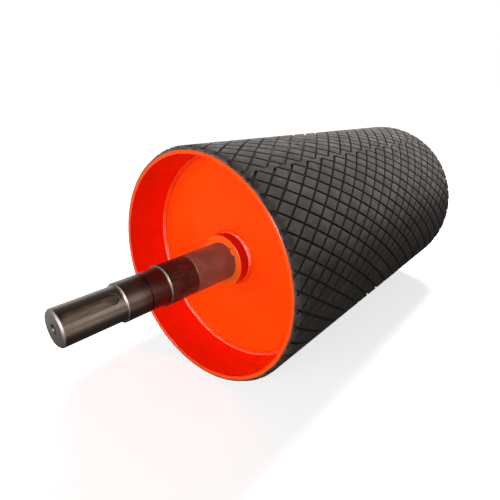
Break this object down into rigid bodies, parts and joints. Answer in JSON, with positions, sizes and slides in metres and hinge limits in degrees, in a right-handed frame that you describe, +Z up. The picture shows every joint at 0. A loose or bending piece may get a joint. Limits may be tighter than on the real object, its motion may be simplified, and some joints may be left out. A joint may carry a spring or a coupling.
{
  "type": "conveyor pulley drum",
  "caption": "Welded conveyor drive drum with diamond-grooved rubber lagging, recessed end discs and hubs keyed to a stepped shaft with a keyed drive journal.",
  "frame": {"origin": "on the shaft's axis, at the middle of the drum's face", "axes": "+Y along the shaft, with the keyed drive journal at -Y; +Z up; the journal keyway lies 44 degrees from +Z towards +X"},
  "size_m": [0.65, 1.758, 0.65],
  "materials": {
    "paint": "gloss orange enamel over machined and welded plate",
    "weld_paint": "gloss orange enamel over rippled weld metal",
    "shaft_steel": "turned steel with a brown rust-preventing film, bright at the chamfers",
    "key_steel": "ground key steel",
    "rubber": "matt black-grey moulded rubber with a diamond groove pattern"
  },
  "bodies": {
    "root": {"shaft": "shaft_steel", "shell": "paint", "lagging_sheet_1": "rubber", "lagging_sheet_2": "rubber", "lagging_sheet_3": "rubber", "end_disc_drive": "paint", "end_disc_far": "paint", "hub_drive": "paint", "hub_far": "paint", "hub_key_drive": "key_steel", "hub_key_far": "key_steel", "centre_diaphragm": "paint", "weld_shell_drive_outer": "weld_paint", "weld_shell_drive_inner": "weld_paint", "weld_shell_far_outer": "weld_paint", "weld_shell_far_inner": "weld_paint", "weld_hub_drive_outer": "weld_paint", "weld_hub_drive_inner": "weld_paint", "weld_hub_far_outer": "weld_paint", "weld_hub_far_inner": "weld_paint", "weld_diaphragm_drive_side": "weld_paint", "weld_diaphragm_far_side": "weld_paint"}
  },
  "joints": []
}
